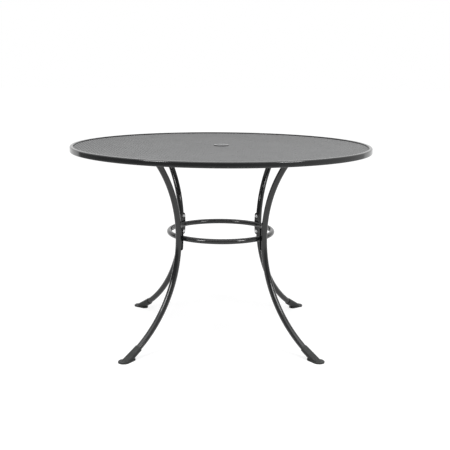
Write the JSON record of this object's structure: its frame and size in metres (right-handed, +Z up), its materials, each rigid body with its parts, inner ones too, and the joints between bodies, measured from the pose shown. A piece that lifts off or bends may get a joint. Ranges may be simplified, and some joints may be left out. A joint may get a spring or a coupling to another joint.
{
  "type": "round garden table",
  "caption": "Round garden table with an expanded-metal top in a rolled rim, an umbrella hole, bowed tube legs on plastic shoes and a round stretcher.",
  "frame": {"origin": "on the floor under the middle of the top", "axes": "+Z up through the umbrella hole; the legs stand on the diagonals between X and Y; the picture looks along +Y"},
  "size_m": [1.1, 1.1, 0.72],
  "materials": {
    "frame_steel": "dark grey powder coat, semi-gloss",
    "mesh_steel": "dark grey coated expanded metal, satin",
    "shoe_plastic": "dark grey moulded plastic, matt",
    "collar_plastic": "dark grey moulded plastic, smooth",
    "fastener_zinc": "bright zinc plate"
  },
  "bodies": {
    "root": {"rim_hoop": "frame_steel", "mesh_top": "mesh_steel", "umbrella_socket": "frame_steel", "umbrella_collar": "collar_plastic", "brace_front_left": "frame_steel", "brace_front_right": "frame_steel", "brace_rear_left": "frame_steel", "brace_rear_right": "frame_steel", "leg_plate_front_left": "frame_steel", "leg_plate_front_right": "frame_steel", "leg_plate_rear_left": "frame_steel", "leg_plate_rear_right": "frame_steel", "leg_front_left": "frame_steel", "leg_front_right": "frame_steel", "leg_rear_left": "frame_steel", "leg_rear_right": "frame_steel", "foot_front_left": "shoe_plastic", "foot_front_right": "shoe_plastic", "foot_rear_left": "shoe_plastic", "foot_rear_right": "shoe_plastic", "stretcher_ring": "frame_steel", "ring_plate_front_left": "frame_steel", "ring_plate_front_right": "frame_steel", "ring_plate_rear_left": "frame_steel", "ring_plate_rear_right": "frame_steel", "ring_bolts": "fastener_zinc", "ring_washers": "fastener_zinc", "ring_inserts": "fastener_zinc", "leg_bolts": "fastener_zinc", "leg_washers": "fastener_zinc", "leg_inserts": "fastener_zinc"}
  },
  "joints": []
}
